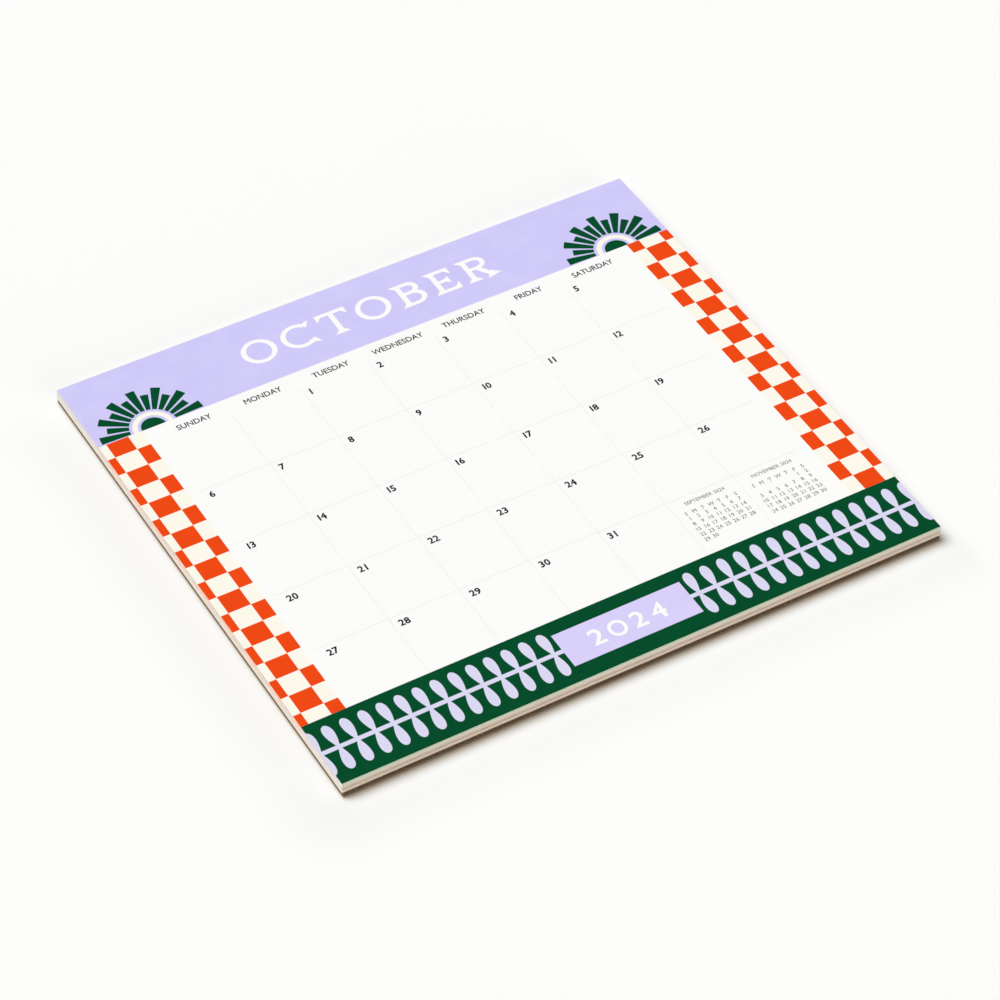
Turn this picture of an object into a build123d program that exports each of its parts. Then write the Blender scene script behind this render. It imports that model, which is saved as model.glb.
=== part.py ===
from build123d import *
import math
import os

# Driving dimensions, in millimetres
sheet_width = 254.0
sheet_length = 228.6
sheet_thickness = 0.25
sheet_gap = 0.04
sheet_count = 17

# Free edges of the sheets: how far the gaps run in, and how unevenly the sheets were knocked up
gap_depth = 1.5
knock_up = 0.10
knock_up_turn = math.radians(137.5)

# One lift of sheets stops a little short of the rest at the tail edge
short_lift_start = 8
short_lift_sheets = 4
short_lift_setback = 0.30

# Gum film brushed over the head edge, thinner towards its two rims
gum_rim = 0.12
gum_crown = 0.35
gum_taper = 1.2

# Chipboard backing, and the flexible magnet sheet stuck to its back
board_thickness = 1.5
magnet_thickness = 0.8
magnet_margin = 0.6
magnet_corner_radius = 2.0

# Heights of the layers above the surface that the pad lies on
sheet_pitch = sheet_thickness + sheet_gap
block_height = sheet_count * sheet_pitch - sheet_gap
board_bottom = magnet_thickness
block_bottom = board_bottom + board_thickness
block_top = block_bottom + block_height

# The whole pad, gum film included, is centred on the origin
head_edge = (sheet_length - gum_crown) / 2
magnet_centre = head_edge - sheet_length / 2

os.makedirs("parts", exist_ok=True)


def knocked_up(index, quarter):
    """How far one edge of a sheet stops short; the top sheet, number 0, is full size."""
    swing = math.cos(index * knock_up_turn + quarter * math.pi / 2)
    return knock_up * (1 - swing) / 2 if index else 0.0


def tail_setback(index):
    """How far a sheet stops short at the tail, with the short lift included."""
    lift = range(short_lift_start, short_lift_start + short_lift_sheets)
    return knocked_up(index, 1) + (short_lift_setback if index in lift else 0.0)


# Pad of sheets: closed up in the middle and along the gummed head, fanned apart at the free edges
with BuildPart() as page_block:
    with BuildSketch(Plane.XY.offset(block_bottom)):
        with Locations((0, head_edge)):
            Rectangle(
                sheet_width - 2 * gap_depth,
                sheet_length - gap_depth,
                align=(Align.CENTER, Align.MAX),
            )
    extrude(amount=block_height)
    for index in range(sheet_count):
        sheet_bottom = block_top - index * sheet_pitch - sheet_thickness
        with BuildSketch(Plane.XY.offset(sheet_bottom)):
            with Locations((0, head_edge)):
                Rectangle(
                    sheet_width - 2 * knocked_up(index, 0),
                    sheet_length - tail_setback(index),
                    align=(Align.CENTER, Align.MAX),
                )
        extrude(amount=sheet_thickness)
page_block.part.label = "page_block"
export_step(page_block.part, "parts/page_block.step")

# Gum binding: a thin film that holds the sheets and the board together at the head
with BuildPart() as gum_binding:
    with BuildSketch(Plane.YZ):
        with BuildLine():
            Polyline(
                (head_edge, board_bottom),
                (head_edge + gum_rim, board_bottom),
                (head_edge + gum_crown, board_bottom + gum_taper),
                (head_edge + gum_crown, block_top - gum_taper),
                (head_edge + gum_rim, block_top),
                (head_edge, block_top),
                close=True,
            )
        make_face()
    extrude(amount=sheet_width / 2, both=True)
gum_binding.part.label = "gum_binding"
export_step(gum_binding.part, "parts/gum_binding.step")

# Backing board: trimmed in one cut with the sheets, so it has their outline
with BuildPart() as backing_board:
    with BuildSketch(Plane.XY.offset(board_bottom)):
        with Locations((0, head_edge)):
            Rectangle(sheet_width, sheet_length, align=(Align.CENTER, Align.MAX))
    extrude(amount=board_thickness)
backing_board.part.label = "backing_board"
export_step(backing_board.part, "parts/backing_board.step")

# Magnet sheet: cut a little smaller than the board, with rounded corners, and stuck to it
with BuildPart() as magnet_sheet:
    with BuildSketch():
        with Locations((0, magnet_centre)):
            RectangleRounded(
                sheet_width - 2 * magnet_margin,
                sheet_length - 2 * magnet_margin,
                magnet_corner_radius,
            )
    extrude(amount=magnet_thickness)
magnet_sheet.part.label = "magnet_sheet"
export_step(magnet_sheet.part, "parts/magnet_sheet.step")
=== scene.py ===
import math
from functools import cached_property

import bmesh
import bpy
from mathutils import Matrix, Vector
from mathutils.geometry import delaunay_2d_cdt


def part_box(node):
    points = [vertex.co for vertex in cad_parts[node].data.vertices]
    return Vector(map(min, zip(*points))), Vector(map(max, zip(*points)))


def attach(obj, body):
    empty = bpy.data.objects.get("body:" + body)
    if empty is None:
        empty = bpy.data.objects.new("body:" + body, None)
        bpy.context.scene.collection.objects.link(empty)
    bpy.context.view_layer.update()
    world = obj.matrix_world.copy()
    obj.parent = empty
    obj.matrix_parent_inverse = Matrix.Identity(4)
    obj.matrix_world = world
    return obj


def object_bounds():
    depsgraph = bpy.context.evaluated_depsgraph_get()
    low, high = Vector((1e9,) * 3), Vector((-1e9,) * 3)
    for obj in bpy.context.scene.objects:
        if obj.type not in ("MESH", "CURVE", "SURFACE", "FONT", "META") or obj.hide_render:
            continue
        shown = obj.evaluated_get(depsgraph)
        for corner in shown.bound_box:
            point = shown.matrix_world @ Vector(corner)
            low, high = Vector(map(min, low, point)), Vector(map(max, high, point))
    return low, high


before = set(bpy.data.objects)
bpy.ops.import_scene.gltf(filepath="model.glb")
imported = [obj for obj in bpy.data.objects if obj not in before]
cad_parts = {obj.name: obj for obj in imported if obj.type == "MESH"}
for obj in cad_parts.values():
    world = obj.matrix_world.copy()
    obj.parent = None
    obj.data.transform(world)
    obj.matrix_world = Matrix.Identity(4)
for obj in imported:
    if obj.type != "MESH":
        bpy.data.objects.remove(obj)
cad_low, cad_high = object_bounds()


# Magnet sheet: rubber filled with ferrite powder, rolled out flat and cut with rounded corners.
# It is stuck all over to the back of the board, and holds the pad to a steel door.

mm = 0.001


class Shade:
    """A socket of a finish. Arithmetic on it adds Math nodes to that finish."""

    def __init__(self, finish, socket):
        self.finish = finish
        self.socket = socket

    def maths(self, operation, other=0.0, turned=False):
        """A Math node on this shade and another value, with the two turned round if wanted."""
        first, second = (other, self) if turned else (self, other)
        return self.finish.node("Math", {"operation": operation}, {0: first, 1: second})

    def __add__(self, other):
        return self.maths("ADD", other)

    def __sub__(self, other):
        return self.maths("SUBTRACT", other)

    def __rsub__(self, other):
        return self.maths("SUBTRACT", other, turned=True)

    def __mul__(self, other):
        return self.maths("MULTIPLY", other)

    def __truediv__(self, other):
        return self.maths("DIVIDE", other)

    def __rtruediv__(self, other):
        return self.maths("DIVIDE", other, turned=True)

    def __gt__(self, other):
        return self.maths("GREATER_THAN", other)

    def __lt__(self, other):
        return self.maths("LESS_THAN", other)

    def __abs__(self):
        return self.maths("ABSOLUTE")

    __radd__ = __add__
    __rmul__ = __mul__


class Finish:
    """The nodes of a material, or of the room, built up one by one in front of its shader."""

    def __init__(self, owner, shader="Principled BSDF"):
        owner.use_nodes = True
        self.owner = owner
        self.tree = owner.node_tree
        self.shader = self.tree.nodes[shader]

    @cached_property
    def place(self):
        """Where a point is on the object, from a node that is added when it is first needed."""
        return self.node("TexCoord", output="Object")

    def join(self, socket, value):
        """Links a shade to a socket, or sets the socket to a plain value."""
        if isinstance(value, Shade):
            self.tree.links.new(value.socket, socket)
        else:
            socket.default_value = value

    def node(self, kind, settings=None, sockets=None, output=0):
        """Adds a node, sets it up, fills its sockets and gives one of its outputs."""
        made = self.tree.nodes.new("ShaderNode" + kind)
        for name, value in (settings or {}).items():
            setattr(made, name, value)
        for name, value in (sockets or {}).items():
            self.join(made.inputs[name], value)
        return Shade(self, made.outputs[output])

    def part(self, vector, axis):
        """One part of a vector, along X, Y or Z."""
        return self.node("SeparateXYZ", {}, {"Vector": vector}, axis)

    def noise(self, grain, detail=3.0, stretch=(1, 1, 1), roughness=0.55):
        """Cloudy noise whose lumps are about one grain across, drawn out along each axis by stretch."""
        scale = [1 / (grain * share) for share in stretch]
        where = self.node("Mapping", {}, {"Vector": self.place, "Scale": scale})
        sockets = {"Vector": where, "Scale": 1.0, "Detail": detail, "Roughness": roughness}
        return self.node("TexNoise", {}, sockets, "Fac")

    def fade(self, value, low, high):
        """0 where value is at or below low, 1 at or above high, and smooth between."""
        settings = {"interpolation_type": "SMOOTHSTEP"}
        return self.node("MapRange", settings, {"Value": value, "From Min": low, "From Max": high})

    def mix(self, share, first, second):
        """A colour between two. The Mix node has like-named sockets, so they go by number here."""
        sockets = {0: share, 6: first, 7: second}
        return self.node("Mix", {"data_type": "RGBA"}, sockets, 2)

    def bump(self, height, depth):
        """A rough surface, with hollows as deep as depth."""
        return self.node("Bump", {}, {"Height": height, "Strength": 1.0, "Distance": depth})

    def feed(self, **sockets):
        """Fills the shader's own sockets. An underscore stands for a space in a socket's name."""
        for name, value in sockets.items():
            self.join(self.shader.inputs[name.replace("_", " ")], value)

    def gloss(self, level):
        """Sets how much light glances off the surface, the same all over."""
        self.shader.inputs["Specular IOR Level"].default_value = level


def colour(red, green, blue):
    """A colour in 0 to 255 steps, as the linear colour that a shader takes."""
    shares = [step / 255 for step in (red, green, blue)]
    return [s / 12.92 if s <= 0.04045 else ((s + 0.055) / 1.055) ** 2.4 for s in shares] + [1.0]


def dress(node, finish):
    """Gives a solid of the frame its finish."""
    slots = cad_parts[node].data.materials
    slots.clear()
    slots.append(finish.owner)


powder_grain = 0.5 * mm
roll_mark_width = 1.2 * mm
roll_mark_stretch = (1, 60, 1)
rubber_patch = 14 * mm
rubber_relief = 0.03 * mm
rubber_dark = colour(56, 43, 34)
rubber_pale = colour(88, 70, 56)
rubber_gloss = 0.3

magnet = Finish(bpy.data.materials.new("magnet_rubber"))
powder = magnet.noise(powder_grain, detail=6.0)
roll_marks = magnet.noise(roll_mark_width, stretch=roll_mark_stretch)
patches = magnet.noise(rubber_patch)
rubber_tone = powder * 0.6 + roll_marks * 0.25 + patches * 0.15
magnet.feed(
    Base_Color=magnet.mix(magnet.fade(rubber_tone, low=0.34, high=0.68), rubber_dark, rubber_pale),
    Roughness=0.52 + 0.2 * patches,
    Normal=magnet.bump(powder * 0.4 + roll_marks, rubber_relief),
)
magnet.gloss(rubber_gloss)
dress("magnet_sheet", magnet)


# Backing board: grey-brown chipboard, pressed from waste paper, so it is full of pale and dark
# flecks. It is trimmed in one cut with the sheets, which leaves its edge a little furry. Its two
# side edges are painted paler, as painted light for the light that falls on its left side.

fibre_width = 0.6 * mm
fibre_stretch = (2.5, 1, 0.5)
fleck_size = 0.9 * mm
board_cloud = 9 * mm
board_relief = 0.12 * mm
board_gloss = 0.1
pulp_dark = colour(82, 65, 50)
pulp_pale = colour(114, 95, 77)
pale_fleck = colour(152, 134, 113)
dark_fleck = colour(58, 46, 37)
painted_side_light = colour(148, 130, 113)
painted_side_light_share = 0.6
side_skin = 0.1 * mm
board_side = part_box("backing_board")[1].x - side_skin

board = Finish(bpy.data.materials.new("chipboard"))
fibres = board.noise(fibre_width, detail=8.0, stretch=fibre_stretch)
flecks = board.noise(fleck_size, detail=2.0)
board_clouds = board.noise(board_cloud)
pulp = board.mix(board.fade(fibres, low=0.3, high=0.7), pulp_dark, pulp_pale)
speckled = board.mix(board.fade(flecks, low=0.62, high=0.7), pulp, pale_fleck)
flecked = board.mix(board.fade(1 - flecks, low=0.64, high=0.72), speckled, dark_fleck)
# Painted light: both side edges of the board are paler, standing in for the light from the left
painted_light_sides = abs(board.part(board.place, "X")) > board_side
board.feed(
    Base_Color=board.mix(painted_light_sides * painted_side_light_share, flecked, painted_side_light),
    Roughness=0.8 + 0.15 * board_clouds,
    Normal=board.bump(fibres, board_relief),
)
board.gloss(board_gloss)
dress("backing_board", board)


# Page block: a pad of heavy uncoated sheets, white on the face. Its cut edges are creamier, and
# the ink that bleeds off the printed face tints the edges of the upper sheets.

page_low, page_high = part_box("page_block")
page_top = page_high.z
page_left = page_low.x
page_right = page_high.x
page_tail = page_low.y
page_head = page_high.y

header_height = 36.25 * mm
header_foot = page_head - header_height
band_height = 30.35 * mm
band_top = page_tail + band_height
check_size = 9.26 * mm
left_check_start = page_head - 44.15 * mm
right_check_start = page_head - 41.75 * mm

felt_grain = 0.35 * mm
mottle_size = 6 * mm
paper_relief = 0.012 * mm
paper_gloss = 0.12
face_dull = colour(249, 249, 249)
face_bright = colour(252, 252, 252)

# Tints of the cut edges, one of them painted shade, and how deep in the pad each sets in
sheet_pitch = 0.29 * mm
sheet_streak = 0.22 * mm
sheet_streak_stretch = (120, 120, 1)
cut_streak = 1.6 * mm
cut_streak_stretch = (1, 1, 6)
edge_dull = colour(240, 231, 214)
edge_bright = colour(252, 248, 236)
lower_tint = colour(238, 212, 193)
lower_share = 0.5
lower_span = (1.6 * mm, 3.0 * mm)
setback_painted_shade = colour(219, 203, 186)
setback_shade_share = 0.7
short_top_span = (1.8 * mm, 2.2 * mm)
short_foot_span = (2.7 * mm, 3.2 * mm)

# Tints that bleed into the edges from the printed face
cream_bleed = colour(222, 191, 162)
orange_bleed = colour(252, 182, 138)
end_bleed = colour(218, 204, 204)
side_bleed_share = 0.95
side_bleed_depth = 5.5 * mm
side_bleed_rise = 1.0 * mm
green_bleed = colour(150, 205, 160)
tail_bleed_share = 0.6
tail_bleed_depth = 1.4 * mm
tail_strip = 2 * mm

paper = Finish(bpy.data.materials.new("printed_paper"))
paper_x, paper_y, paper_z = [paper.part(paper.place, axis) for axis in "XYZ"]
faces_up = paper.part(paper.node("NewGeometry", output="Normal"), "Z") > 0.5
felt = paper.noise(felt_grain, detail=5.0)
mottle = paper.noise(mottle_size)
face_white = paper.mix(mottle, face_dull, face_bright)

depth = page_top - paper_z
sheet_number = (depth / sheet_pitch).maths("FLOOR")
sheet_chance = paper.node("TexWhiteNoise", {"noise_dimensions": "1D"}, {"W": sheet_number}, "Value")
sheet_streaks = paper.noise(sheet_streak, detail=4.0, stretch=sheet_streak_stretch)
cut_streaks = paper.noise(cut_streak, detail=3.0, stretch=cut_streak_stretch)
streaks = sheet_streaks * 0.5 + cut_streaks * 0.2 + sheet_chance * 0.3
edge_cream = paper.mix(paper.fade(streaks, low=0.3, high=0.7), edge_dull, edge_bright)
lower_sheets = paper.fade(depth, *lower_span)
edge_warm = paper.mix(lower_sheets * lower_share, edge_cream, lower_tint)
# Painted shade: at the tail, the edges of the set-back sheets are darker, as if shaded by the sheets
# above
shaded_setback_sheets = paper.fade(depth, *short_top_span) * (1 - paper.fade(depth, *short_foot_span))
tail_sheets_with_shade = paper.mix(shaded_setback_sheets * setback_shade_share, edge_warm, setback_painted_shade)

left_rows = ((left_check_start - paper_y) / (2 * check_size)).maths("FRACT") < 0.5
right_rows = ((right_check_start - paper_y) / (2 * check_size)).maths("FRACT") > 0.5
on_right = paper_x > 0.0
orange_rows = left_rows * (1 - on_right) + right_rows * on_right
check_bleed = paper.mix(orange_rows, cream_bleed, orange_bleed)
past_checks = (paper_y > header_foot) + (paper_y < band_top)
side_ink = paper.mix(past_checks, check_bleed, end_bleed)
side_bleed = paper.fade(paper_z, page_top - side_bleed_depth, page_top + side_bleed_rise)
side_edge = paper.mix(side_bleed * side_bleed_share, edge_warm, side_ink)
tail_bleed = paper.fade(paper_z, page_top - tail_bleed_depth, page_top)
tail_edge = paper.mix(tail_bleed * tail_bleed_share, tail_sheets_with_shade, green_bleed)
edge_colour = paper.mix(paper_y < page_tail + tail_strip, side_edge, tail_edge)
paper.feed(
    Base_Color=paper.mix(faces_up, edge_colour, face_white),
    Roughness=0.72 + 0.12 * mottle,
    Normal=paper.bump(felt, paper_relief),
)
paper.gloss(paper_gloss)
dress("page_block", paper)


# Gum binding: padding gum brushed over the head edge, dried to a milky, rubbery film. Brush
# streaks run along the edge, and the film peels off with each sheet.

brush_streak = 0.5 * mm
brush_streak_stretch = (40, 1, 1)
gum_pool = 7 * mm
gum_relief = 0.08 * mm
gum_gloss = 0.4
gum_dull = colour(214, 210, 200)
gum_milky = colour(240, 238, 231)

gum = Finish(bpy.data.materials.new("padding_gum"))
brush_streaks = gum.noise(brush_streak, detail=4.0, stretch=brush_streak_stretch)
pooling = gum.noise(gum_pool)
gum.feed(
    Base_Color=gum.mix(brush_streaks, gum_dull, gum_milky),
    Roughness=0.34 + 0.2 * pooling,
    Normal=gum.bump(brush_streaks + pooling, gum_relief),
)
gum.gloss(gum_gloss)
dress("gum_binding", gum)


# Printed colour fields: the tint of the header, the cream of the two side strips and the band
# at the tail. Each is a film of ink on the top sheet, and runs off its cut edges.

ink_film = 0.014 * mm
ink_sunk = 0.004 * mm
ink_grain = 0.28 * mm
ink_cloud = 11 * mm
ink_relief = 0.012 * mm
ink_gloss = 0.02
brightest_ink = 0.98
trim = 0.04 * mm
weld = 0.001 * mm
left_strip = 18.2 * mm
right_strip = 19.1 * mm
left_edge = page_left + trim
right_edge = page_right - trim
lilac = colour(208, 202, 251)
cream = colour(252, 248, 236)
green = colour(4, 74, 42)


def ink(name, flat_colour, shift):
    """A printed colour, cloudy and grainy by a small shift, as ink on uncoated paper is."""
    finish = Finish(bpy.data.materials.new(name))
    grain = finish.noise(ink_grain, detail=4.0)
    clouding = finish.noise(ink_cloud)
    deeper = [step * (1 - shift) for step in flat_colour[:3]] + [1.0]
    lighter = [min(step * (1 + shift), brightest_ink) for step in flat_colour[:3]] + [1.0]
    tone = finish.fade(grain * 0.65 + clouding * 0.35, low=0.36, high=0.64)
    finish.feed(
        Base_Color=finish.mix(tone, deeper, lighter),
        Roughness=0.62 + 0.16 * grain,
        Normal=finish.bump(grain, ink_relief),
    )
    finish.gloss(ink_gloss)
    return finish


def rectangle(shape, left, right, foot, top):
    """Adds a flat rectangle to a shape."""
    centre = Matrix.Translation(((left + right) / 2, (foot + top) / 2, 0))
    size = Matrix.Diagonal((right - left, top - foot, 1, 1))
    bmesh.ops.create_grid(shape, x_segments=1, y_segments=1, size=0.5, matrix=centre @ size)


def print_on_page(name, shape, finish, layer=0):
    """Lays a flat shape on the top sheet as a closed film of ink, over the layers printed before."""
    bmesh.ops.remove_doubles(shape, verts=shape.verts, dist=weld)
    bmesh.ops.dissolve_degenerate(shape, edges=shape.edges[:], dist=weld)
    bmesh.ops.recalc_face_normals(shape, faces=shape.faces)
    for face in shape.faces:
        if face.normal.z < 0:
            face.normal_flip()
    raised = bmesh.ops.extrude_face_region(shape, geom=shape.faces[:])
    upper = [part for part in raised["geom"] if isinstance(part, bmesh.types.BMVert)]
    bmesh.ops.translate(shape, verts=upper, vec=(0, 0, ink_film + ink_sunk))
    bmesh.ops.recalc_face_normals(shape, faces=shape.faces)
    foot = page_top + layer * ink_film - ink_sunk
    bmesh.ops.translate(shape, verts=shape.verts, vec=(0, 0, foot))
    mesh = bpy.data.meshes.new(name)
    shape.to_mesh(mesh)
    shape.free()
    mesh.materials.append(finish.owner)
    piece = bpy.data.objects.new(name, mesh)
    bpy.context.scene.collection.objects.link(piece)
    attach(piece, "root")


header = bmesh.new()
rectangle(header, left_edge, right_edge, header_foot, page_head - trim)
print_on_page("header_tint", header, ink("lilac_ink", lilac, 0.045))

strips = bmesh.new()
rectangle(strips, left_edge, page_left + left_strip, band_top, header_foot)
rectangle(strips, page_right - right_strip, right_edge, band_top, header_foot)
print_on_page("strip_cream", strips, ink("cream_ink", cream, 0.015))

band = bmesh.new()
rectangle(band, left_edge, right_edge, page_tail + trim, band_top)
green_ink = ink("green_ink", green, 0.1)
print_on_page("tail_band", band, green_ink)


# Checks: orange squares printed over the cream strips, chequered with it. The strips are cut
# from a wider chequered sheet, so the outer columns and the end rows are part squares.

check_gap = 0.02 * mm
left_outer_column = 3.2 * mm
left_second_column = 12.45 * mm
right_second_column = 13.4 * mm
right_outer_column = 4.15 * mm
orange = colour(238, 73, 20)


def chequer(shape, columns, first_foot, start_odd):
    """Adds every other square of a strip; columns are their edges from left to right."""
    top = header_foot
    foot = first_foot
    row = 0
    while top > band_top:
        for place in range(len(columns) - 1):
            if (place + row + start_odd) % 2:
                left = columns[place] + check_gap
                right = columns[place + 1] - check_gap
                rectangle(shape, left, right, max(foot, band_top) + check_gap, top - check_gap)
        top = foot
        foot -= check_size
        row += 1


left_columns = (
    left_edge,
    page_left + left_outer_column,
    page_left + left_second_column,
    page_left + left_strip,
)
right_columns = (
    page_right - right_strip,
    page_right - right_second_column,
    page_right - right_outer_column,
    right_edge,
)
checks = bmesh.new()
chequer(checks, left_columns, left_check_start, 0)
chequer(checks, right_columns, right_check_start, 1)
print_on_page("check_squares", checks, ink("orange_ink", orange, 0.05), 1)


# Header corners: a rising sun at each end of the header, cut off by its foot. Long and short
# rays stand round a pale arch and a plain half disc, all in flat ink.

sun_reach = 103.5 * mm
sun_disc = 5.0 * mm
arch_inner = 6.2 * mm
arch_outer = 8.3 * mm
ray_foot = 9.5 * mm
long_ray = 21.5 * mm
short_ray = 18.0 * mm
ray_count = 13
ray_share = 0.76
ray_steps = 4
arch_steps = 24
ivory = colour(251, 248, 236)


def ring_part(shape, centre_x, centre_y, inner, outer, start, turn, steps):
    """Adds part of a flat ring, spun round its centre from a radial edge."""
    heading = Vector((math.cos(start), math.sin(start), 0))
    centre = Vector((centre_x, centre_y, 0))
    ends = [shape.verts.new(centre + heading * reach) for reach in (inner, outer)]
    edge = shape.edges.new(ends)
    bmesh.ops.spin(shape, geom=ends + [edge], cent=centre, axis=(0, 0, 1), angle=turn, steps=steps)


rays = bmesh.new()
arches = bmesh.new()
for sun_x in (-sun_reach, sun_reach):
    for ray in range(ray_count):
        step = math.pi / ray_count
        start = step * (ray + (1 - ray_share) / 2)
        reach = short_ray if ray % 2 else long_ray
        ring_part(rays, sun_x, header_foot, ray_foot, reach, start, step * ray_share, ray_steps)
    ring_part(rays, sun_x, header_foot, 0.0, sun_disc, 0, math.pi, arch_steps)
    ring_part(arches, sun_x, header_foot, arch_inner, arch_outer, 0, math.pi, arch_steps)
print_on_page("sun_rays", rays, green_ink, 1)
print_on_page("sun_arches", arches, ink("pale_ink", ivory, 0.015), 1)


# Garland: a straight stem across the tail band with pairs of drop-shaped leaves, in a pale ink
# over the green, broken in the middle by a plain plate. It is drawn in millimetres from the
# middle of its stem, as the letters are from their own corners.

garland_centre = -0.38 * mm
garland_line = band_top - 14.67 * mm
stem_width = 1.9
plate_width = 54.7
plate_height = 17.0
leaf_pitch = 7.345
leaf_length = 11.2
leaf_width = 4.15
leaf_root = 1.0
leaf_lean = 0.5
leaf_taper = 1.2
leaf_points = 32
leaf_pairs = 14
closest_points = 0.01
plate_to_leaf = 3.55
first_leaf = plate_width / 2 + plate_to_leaf
fullest_turn = 2 * math.atan(math.sqrt(1 + leaf_taper))
fullest = math.sin(fullest_turn) * math.sin(fullest_turn / 2) ** leaf_taper
spray_left = (left_edge - garland_centre) / mm
spray_right = (right_edge - garland_centre) / mm
pale_lilac = colour(219, 217, 243)
plate_lilac = colour(216, 208, 251)


def leaf(stem_x, way, lean):
    """A leaf that stands on the stem, up or down the page, cut off where the page ends."""
    outline = []
    for step in range(leaf_points):
        turn = 2 * math.pi * step / leaf_points
        along = (1 - math.cos(turn)) / 2
        swell = math.sin(turn) * math.sin(turn / 2) ** leaf_taper / fullest
        x = stem_x + swell * leaf_width / 2 + lean * along
        y = way * (along * (leaf_length + leaf_root) - leaf_root)
        outline.append(Vector((max(min(x, spray_right), spray_left), y)))
    return outline


def fuse(shape, outlines, place, holed=False):
    """Adds flat outlines, drawn in millimetres and then set in place. They fuse where they
    overlap, or, if holed, leave what is inside two of them open."""
    points = [point for outline in outlines for point in outline]
    rings = []
    for outline in outlines:
        start = sum(len(ring) for ring in rings)
        rings.append(list(range(start, start + len(outline))))
    corners, _, faces, _, _, sources = delaunay_2d_cdt(points, [], rings, 1, closest_points)
    made = [shape.verts.new(place @ (corner.to_3d() * mm)) for corner in corners]
    for face, source in zip(faces, sources):
        inked = len(source) < 2 if holed else len(source) > 0
        if inked:
            shape.faces.new([made[corner] for corner in face])
    loose = [point for point in made if not point.link_faces]
    bmesh.ops.delete(shape, geom=loose, context="VERTS")


def bar(left, right, foot, top):
    """The outline of an upright rectangle."""
    return [Vector(corner) for corner in ((left, foot), (right, foot), (right, top), (left, top))]


sprays = []
for side, end in ((-1, spray_left), (1, spray_right)):
    inner, outer = sorted((side * plate_width / 2, end))
    sprays.append(bar(inner, outer, -stem_width / 2, stem_width / 2))
    for place in range(leaf_pairs):
        leaf_x = side * (first_leaf + place * leaf_pitch)
        sprays += [leaf(leaf_x, way, side * leaf_lean) for way in (-1, 1)]
garland = bmesh.new()
garland_place = Matrix.Translation((garland_centre, garland_line, 0))
fuse(garland, sprays, garland_place)
print_on_page("leaf_garland", garland, ink("pale_lilac_ink", pale_lilac, 0.02), 1)

plate = bmesh.new()
plate_outline = bar(-plate_width / 2, plate_width / 2, -plate_height / 2, plate_height / 2)
fuse(plate, [plate_outline], garland_place)
print_on_page("year_plate", plate, ink("plate_ink", plate_lilac, 0.03), 1)


# Month name: broad capitals left white in the header tint. Their strokes end in wedge-shaped
# serifs, and their bowls are thinner at the top and the foot than at the sides.

letter_height = 13.4
letter_middle = letter_height / 2
stem = 2.2
hair = 1.7
flare = 2.3
serif = 2.3
letter_gap = 2.8
bowl_steps = 40
top_bar = letter_height - hair / 2
foot_bar = hair / 2
spine_x = serif + stem / 2
round_reach = 7.3
month_line = header_foot + 17.4 * mm
bare_white = colour(251, 251, 251)

# A serif's wedge starts narrower than its shaft, and the shaft stops short of the wedge's end,
# so that no two sides run together. All three are shares of the stroke's width.
wedge_neck = 0.9
wedge_end = 0.48
shaft_short = 0.25


def stroke(start, end, width, left=0.0, right=0.0):
    """A straight stroke whose end widens to a serif, by so much to the left and right of its run."""
    start = Vector(start)
    end = Vector(end)
    run = (end - start).normalized()
    out = Vector((-run.y, run.x))
    side = out * width / 2
    shaft_end = end - run * width * shaft_short if left or right else end
    shaft = [start + side, start - side, shaft_end - side, shaft_end + side]
    neck = end - run * flare
    reach_left = out * (width * wedge_end + left)
    reach_right = out * (width * wedge_end + right)
    wedge = [neck + side * wedge_neck, neck - side * wedge_neck, end - reach_right, end + reach_left]
    return [shaft, wedge] if left or right else [shaft]


def bowl(centre_x, centre_y, reach_x, reach_y, start, turn):
    """Part of an oval ring that is one stem wide at its sides, and one hair at its top and foot."""
    angles = [math.radians(start + turn * step / bowl_steps) for step in range(bowl_steps + 1)]
    ring = []
    for inset_x, inset_y, way in ((0, 0, 1), (stem, hair, -1)):
        for angle in angles[::way]:
            x = centre_x + (reach_x - inset_x) * math.cos(angle)
            y = centre_y + (reach_y - inset_y) * math.sin(angle)
            ring.append(Vector((x, y)))
    return ring


def half_bowl(centre_x, centre_y, reach_x, reach_y):
    """The right half of a bowl."""
    return bowl(centre_x, centre_y, reach_x, reach_y, -90, 180)


def spine(foot_right=0.0):
    """An upright stroke with a serif to the left at both ends, and one to the right at its foot."""
    middle = (spine_x, letter_middle)
    head = stroke(middle, (spine_x, letter_height), stem, serif)
    return head + stroke(middle, (spine_x, 0), stem, foot_right, serif)


def letter_o():
    """Two half rings."""
    oval = (round_reach, letter_middle, round_reach, letter_middle)
    return [bowl(*oval, start, 180) for start in (0, 180)]


def letter_c():
    """A ring with a mouth to the right, and a tip with a serif at each side of the mouth."""
    mouth = 48
    tip_start = (2.6, 5.6)
    tip_end = (5.6, 3.9)
    parts = [bowl(round_reach, letter_middle, round_reach, letter_middle, mouth, 360 - 2 * mouth)]
    for way in (-1, 1):
        start = (round_reach + tip_start[0], letter_middle + way * tip_start[1])
        end = (round_reach + tip_end[0], letter_middle + way * tip_end[1])
        parts += stroke(start, end, hair, max(way, 0) * serif, max(-way, 0) * serif)
    return parts


def letter_t():
    """Two arms over a stem."""
    arm = 6.6
    joint = (arm, top_bar)
    parts = stroke(joint, (0, top_bar), hair, serif)
    parts += stroke(joint, (2 * arm, top_bar), hair, 0, serif)
    return parts + stroke(joint, (arm, 0), stem, serif, serif)


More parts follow.
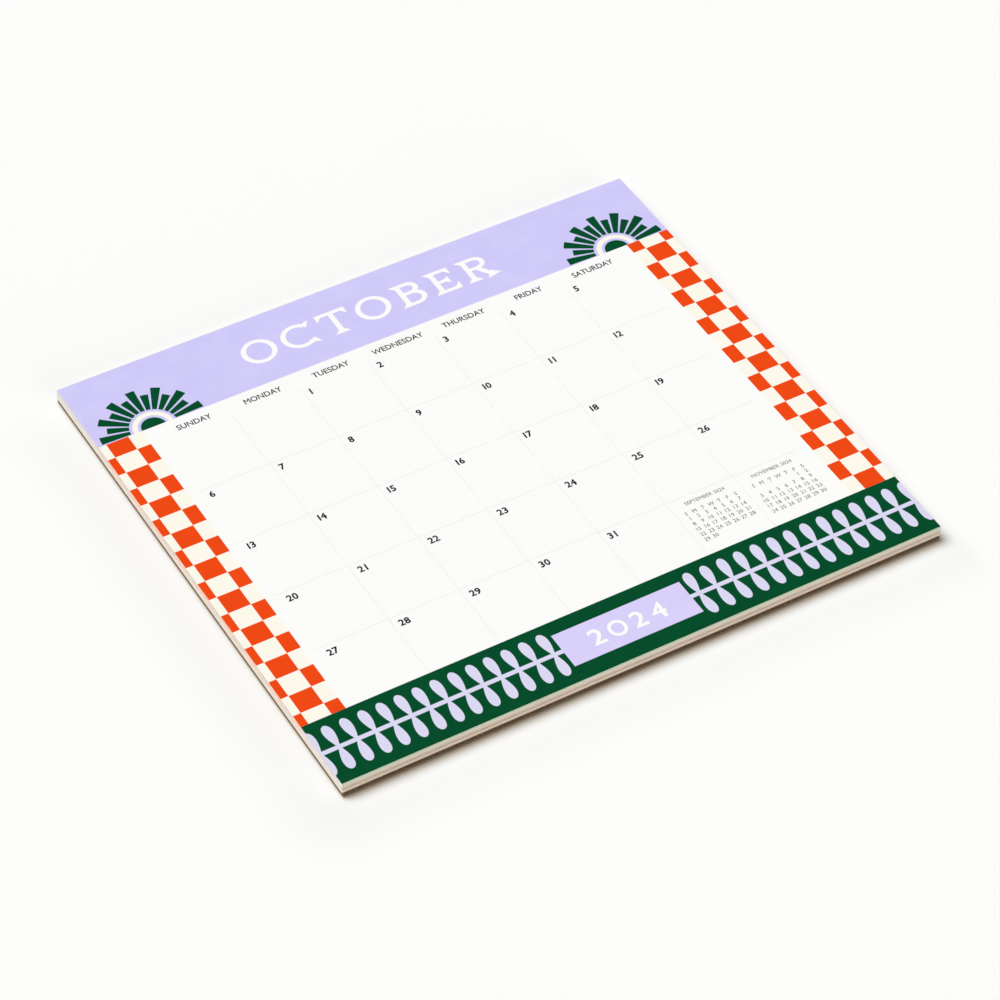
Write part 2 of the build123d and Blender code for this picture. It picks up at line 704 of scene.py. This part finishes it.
def letter_b():
    """A spine with a small bowl over a larger one."""
    upper_x = 7.2
    upper_reach = 4.4
    upper_half = 3.45
    lower_x = 7.4
    lower_reach = 5.0
    lower_half = 4.1
    middle_bar = 2 * lower_half - hair / 2
    parts = spine()
    for y, end in ((foot_bar, lower_x), (middle_bar, lower_x), (top_bar, upper_x)):
        parts += stroke((spine_x, y), (end, y), hair)
    parts.append(half_bowl(upper_x, letter_height - upper_half, upper_reach, upper_half))
    parts.append(half_bowl(lower_x, lower_half, lower_reach, lower_half))
    return parts


def letter_e():
    """A spine with three arms, the middle one short."""
    top_end = 11.2
    middle_end = 9.2
    foot_end = 11.8
    parts = spine()
    parts += stroke((spine_x, top_bar), (top_end, top_bar), hair, 0, serif)
    parts += stroke((spine_x, letter_middle), (middle_end, letter_middle), hair, serif / 2, serif / 2)
    return parts + stroke((spine_x, foot_bar), (foot_end, foot_bar), hair, serif)


def letter_r():
    """A spine with a bowl, and a slanted leg that ends in a steeper foot."""
    bowl_x = 7.4
    bowl_reach = 4.8
    bowl_half = 3.6
    low_bar = letter_height - 2 * bowl_half + hair / 2
    leg_start = (7.2, low_bar)
    leg_end = (11.2, 1.2)
    foot_start = (11.2, 3.0)
    foot_end = (11.8, 0)
    parts = spine(serif)
    for y in (low_bar, top_bar):
        parts += stroke((spine_x, y), (bowl_x, y), hair)
    parts.append(half_bowl(bowl_x, letter_height - bowl_half, bowl_reach, bowl_half))
    parts += stroke(leg_start, leg_end, stem)
    return parts + stroke(foot_start, foot_end, stem, serif, serif)


month_letters = (letter_o(), letter_c(), letter_t(), letter_o(), letter_b(), letter_e(), letter_r())
widths = [max(point.x for outline in letter for point in outline) for letter in month_letters]
month_width = sum(widths) + letter_gap * (len(widths) - 1)
month = bmesh.new()
pen = -month_width / 2
for letter, width in zip(month_letters, widths):
    fuse(month, letter, Matrix.Translation((pen * mm, month_line - letter_middle * mm, 0)))
    pen += width + letter_gap
white_ink = ink("bare_white", bare_white, 0.012)
print_on_page("month_name", month, white_ink, 1)


# Year figures: light round figures left white in the plate on the garland. They are drawn broad
# and set wide apart.

capital_share = 0.682
sharpest_corner = 0.6
year_height = 7.35 * mm
year_weight = 0.21 * mm

# Each figure, its place from the middle of the plate, and how much it is broadened
year_figures = (
    ("2", -13.1 * mm, 1.1),
    ("O", -4.2 * mm, 0.9),
    ("2", 4.6 * mm, 1.1),
    ("4", 13.2 * mm, 1.1),
)


def thicken(letters, weight):
    """The outlines of flat letters, moved outwards by a weight, but not far at sharp corners."""
    bmesh.ops.remove_doubles(letters, verts=letters.verts, dist=weight / 2)
    letters.normal_update()
    following = {}
    moves = {}
    for edge in letters.edges:
        if edge.is_boundary:
            loop = edge.link_loops[0]
            start = loop.vert
            end = loop.link_loop_next.vert
            out = (end.co - start.co).cross(loop.face.normal).normalized()
            following[start] = end
            moves[start] = moves.get(start, Vector()) + out
            moves[end] = moves.get(end, Vector()) + out
    moved = {}
    for corner, way in moves.items():
        moved[corner] = corner.co + way * weight / max(way.length_squared / 2, sharpest_corner)
    outlines = []
    while following:
        outline = list(following.popitem())
        while outline[-1] in following:
            outline.append(following.pop(outline[-1]))
        outlines.append([moved[corner].xy for corner in outline[:-1]])
    return outlines


def anticlockwise(outline):
    """An outline, turned round where it runs clockwise, as that of a hole does."""
    area = sum(point.cross(after) for point, after in zip(outline, outline[1:] + outline[:1]))
    return outline if area > 0 else outline[::-1]


def typeset(shape, words, height, x, y, weight, stretch=1.0, spacing=1.0, ranged_left=False, steps=3):
    """Adds a line of plain type, its capitals centred on y, and its ink centred on x or from x."""
    line = bpy.data.curves.new("type", "FONT")
    line.body = words
    line.size = height / capital_share
    line.space_character = spacing
    line.resolution_u = steps
    form = bpy.data.objects.new("type", line)
    cut = bpy.data.meshes.new_from_object(form)
    cut.transform(Matrix.Diagonal((stretch / mm, 1 / mm, 1, 1)))
    letters = bmesh.new()
    letters.from_mesh(cut)
    outlines = [anticlockwise(outline) for outline in thicken(letters, weight / mm)]
    letters.free()
    ends = [point.x * mm for outline in outlines for point in outline]
    inked_from = min(ends) if ranged_left else (min(ends) + max(ends)) / 2
    fuse(shape, outlines, Matrix.Translation((x - inked_from, y - height / 2, 0)), holed=True)
    bpy.data.objects.remove(form)
    bpy.data.curves.remove(line)
    bpy.data.meshes.remove(cut)


year = bmesh.new()
for figure, x, stretch in year_figures:
    typeset(year, figure, year_height, garland_centre + x, garland_line, year_weight, stretch, steps=6)
print_on_page("year_figures", year, white_ink, 2)


# Day grid: hairlines in a pale grey ink that rule the white field into seven columns and five
# rows, with the names of the days set small over the columns.

page_middle = (page_tail + page_head) / 2
column_width = 29.64 * mm
grid_left = -104.3 * mm
row_height = 30.72 * mm
first_rule = page_middle + 38.5 * mm
rule_width = 0.35 * mm
rule_left = -105.5 * mm
rule_right = 102.8 * mm
column_top = page_middle + 69.0 * mm
week_rows = 5
day_names = ("SUNDAY", "MONDAY", "TUESDAY", "WEDNESDAY", "THURSDAY", "FRIDAY", "SATURDAY")
name_height = 2.6 * mm
name_weight = 0.075 * mm
name_stretch = 0.96
name_line = page_middle + 72.8 * mm
name_shift = 0.3 * mm
rule_grey = colour(240, 240, 240)
name_grey = colour(74, 72, 72)

lines = []
for column in range(1, len(day_names)):
    x = grid_left + column * column_width
    lines.append(bar(x - rule_width / 2, x + rule_width / 2, band_top, column_top))
for row in range(week_rows - 1):
    y = first_rule - row * row_height
    lines.append(bar(rule_left, rule_right, y - rule_width / 2, y + rule_width / 2))
rules = bmesh.new()
fuse(rules, [[corner / mm for corner in line] for line in lines], Matrix.Identity(4))
print_on_page("day_rules", rules, ink("rule_ink", rule_grey, 0.02))

names = bmesh.new()
for column, name in enumerate(day_names):
    x = grid_left + (column + 0.5) * column_width + name_shift
    typeset(names, name, name_height, x, name_line, name_weight, name_stretch)
print_on_page("day_names", names, ink("grey_ink", name_grey, 0.1))


# Day numbers: bold black figures at the upper left of each square, one month of 31 days that
# starts on the third column. A one is narrow, so the figure after it is set closer.

number_height = 2.95 * mm
number_weight = 0.135 * mm
number_inset = 2.3 * mm
number_line = page_middle + 65.65 * mm
number_pitch = 30.8 * mm
number_spacing = 1.03
spacing_after_one = 0.85
month_start = 2
month_days = 31
number_black = colour(34, 33, 34)

numbers = bmesh.new()
for day in range(1, month_days + 1):
    row, column = divmod(day - 1 + month_start, len(day_names))
    x = grid_left + column * column_width + number_inset
    y = number_line - row * number_pitch
    spacing = spacing_after_one if str(day)[0] == "1" else number_spacing
    typeset(
        numbers,
        str(day),
        number_height,
        x,
        y,
        number_weight,
        spacing=spacing,
        ranged_left=True,
        steps=2,
    )
print_on_page("day_numbers", numbers, ink("black_ink", number_black, 0.12))


# Small months: the month before and the month after, set in grey as little tables in the last
# two squares of the page.

small_pitch = 3.64 * mm
small_row = 3.0 * mm
small_height = 1.75 * mm
small_weight = 0.015 * mm
title_height = 1.65 * mm
title_line = page_middle - 57.3 * mm
initial_line = page_middle - 61.9 * mm
first_line = page_middle - 64.7 * mm
small_centres = (58.9 * mm, 88.8 * mm)
small_grey = colour(112, 111, 111)

# Each table's title, the column of its first day, and its number of days
small_months = (("SEPTEMBER 2024", 0, 30), ("NOVEMBER 2024", 5, 30))

small_type = bmesh.new()
for centre, (title, start, days) in zip(small_centres, small_months):
    first_column = centre - small_pitch * (len(day_names) - 1) / 2
    typeset(small_type, title, title_height, centre, title_line, small_weight, steps=2)
    for column, name in enumerate(day_names):
        x = first_column + column * small_pitch
        typeset(small_type, name[0], small_height, x, initial_line, small_weight, steps=2)
    for day in range(1, days + 1):
        row, column = divmod(day - 1 + start, len(day_names))
        x = first_column + column * small_pitch
        y = first_line - row * small_row
        typeset(small_type, str(day), small_height, x, y, small_weight, steps=2)
print_on_page("small_months", small_type, ink("pale_grey_ink", small_grey, 0.06))


# Table top: a broad, plain, pale surface that the pad lies on. It shows only from above, and is
# open under the pad for the light on its back. Round the pad it is painted a little darker, as
# painted shade, apart from behind its head and past its right side, and right beside its edges
# it is painted warm brown, as a painted contact shadow.

page_length = page_head - page_tail
table_size = 8.0
table_gap = 0.02 * mm
table_rim = 1.2 * mm
table_cloud = 60 * mm
table_far = colour(252, 252, 252)
painted_shade_colour = colour(243, 243, 243)
near_reach = 35 * mm
head_span = (-8 * mm, 22 * mm)
right_span = (4.5 * mm, 11 * mm)
right_share = 0.85
painted_contact_shadow = colour(236, 224, 207)
contact_shadow_reach = 3.5 * mm
side_squeeze = 30

table = Finish(bpy.data.materials.new("table_top"))
table_clouds = table.noise(table_cloud)
table_x, table_y = [table.part(table.place, axis) for axis in "XY"]
from_middle = abs(table_y - page_middle)
beyond_x = (abs(table_x) - page_right).maths("MAXIMUM", 0.0)
beyond_y = (from_middle - page_length / 2).maths("MAXIMUM", 0.0)
beyond = (beyond_x * beyond_x + beyond_y * beyond_y).maths("SQRT")
# Painted shade: the table is darker round the pad, except behind its head and past its right side
below_head = table.fade(page_head - table_y, *head_span)
right_side = table.fade(table_x - page_right, *right_span)
pad_shade_share = below_head * (1 - right_share * right_side) * (1 - table.fade(beyond, 0.0, near_reach))
shaded_table_white = table.mix(pad_shade_share, table_far, painted_shade_colour)
# Painted shadow: a warm-brown contact shadow painted right beside the pad's edges
contact_shadow_distance = (beyond_x * beyond_x * side_squeeze + beyond_y * beyond_y).maths("SQRT")
table_colour = table.mix(table.fade(contact_shadow_distance, 0.0, contact_shadow_reach), painted_contact_shadow, shaded_table_white)
table.feed(Base_Color=table_colour, Roughness=0.85 + 0.1 * table_clouds)
table.gloss(0.0)

from_below = table.node("NewGeometry", output="Backfacing")
under_x = abs(table_x) < page_right - table_rim
under_y = from_middle < page_length / 2 - table_rim
cleared = from_below.maths("MAXIMUM", under_x * under_y)
solid = Shade(table, table.shader.outputs[0])
unseen = table.node("BsdfTransparent")
sheer = table.node("MixShader", {}, {0: cleared, 1: solid, 2: unseen})
table.join(table.tree.nodes["Material Output"].inputs["Surface"], sheer)

table_shape = bmesh.new()
bmesh.ops.create_grid(table_shape, x_segments=1, y_segments=1, size=table_size / 2)
bmesh.ops.translate(table_shape, verts=table_shape.verts, vec=(0, 0, cad_low.z - table_gap))
table_mesh = bpy.data.meshes.new("table_top")
table_shape.to_mesh(table_mesh)
table_shape.free()
table_mesh.materials.append(table.owner)
table_top = bpy.data.objects.new("table_top", table_mesh)
bpy.context.scene.collection.objects.link(table_top)


# Room and light: a pale room, a broad soft light from the back left, a white card that throws
# some of it on the front, and a light from below for the back of the pad.

room_light = 0.12
room_white = 0.968
room_warm = (1.0, 0.75, 0.52, 1.0)
plain_white = (1.0, 1.0, 1.0, 1.0)
seen_by = ("Is Camera Ray", "Is Glossy Ray", "Is Transmission Ray")
soft_angle = math.radians(40)
window_way = Vector((-0.35, 0.30, 0.88))
window_strength = 3.05
window_tint = (0.938, 0.978, 1.0)
card_way = Vector((0.15, -0.96, 0.22))
card_strength = 1.1
card_tint = (1.0, 0.95, 0.88)
back_way = Vector((-0.2, -0.2, -0.96))
back_strength = 3.0
back_tint = (1.0, 1.0, 1.0)


def far_light(name, way, strength, tint):
    """A soft light so far off that it falls evenly over the table."""
    lamp = bpy.data.lights.new(name, "SUN")
    lamp.energy = strength
    lamp.color = tint
    lamp.angle = soft_angle
    made = bpy.data.objects.new(name, lamp)
    made.rotation_mode = "QUATERNION"
    made.rotation_quaternion = (-way).to_track_quat("-Z", "Y")
    bpy.context.scene.collection.objects.link(made)


room = Finish(bpy.data.worlds.new("pale_room"), "Background")
direct, mirrored, passed = [room.node("LightPath", output=ray) for ray in seen_by]
seen = direct.maths("MAXIMUM", mirrored).maths("MAXIMUM", passed)
room.feed(
    Color=room.mix(seen, room_warm, plain_white),
    Strength=room_light + (room_white - room_light) * seen,
)
bpy.context.scene.world = room.owner
far_light("window_light", window_way, window_strength, window_tint)
far_light("card_light", card_way, card_strength, card_tint)
far_light("back_light", back_way, back_strength, back_tint)


# View: a camera with a long lens, from the left of the tail edge and down on the page, as the
# pad is seen where it lies on a table.

view_azimuth = math.radians(-30.925)
view_elevation = math.radians(45.284)
view_roll = math.radians(0.921)
view_distance = 1437.34 * mm
view_aim = Vector((-8.777 * mm, page_middle - 21.166 * mm, page_top))
view_sensor = 36.0
view_lens = 138.221

flat_reach = math.cos(view_elevation)
view_back = Vector((
    math.sin(view_azimuth) * flat_reach,
    -math.cos(view_azimuth) * flat_reach,
    math.sin(view_elevation),
))
level = Vector((math.cos(view_azimuth), math.sin(view_azimuth), 0))
upright = view_back.cross(level)
view_right = level * math.cos(view_roll) + upright * math.sin(view_roll)
view_up = upright * math.cos(view_roll) - level * math.sin(view_roll)
camera_data = bpy.data.cameras.new("page_view")
camera_data.sensor_width = view_sensor
camera_data.lens = view_lens
camera = bpy.data.objects.new("page_view", camera_data)
camera.matrix_world = Matrix.LocRotScale(
    view_aim + view_back * view_distance,
    Matrix((view_right, view_up, view_back)).transposed(),
    None,
)
bpy.context.scene.collection.objects.link(camera)
bpy.context.scene.camera = camera
bpy.context.scene.view_settings.view_transform = "Standard"
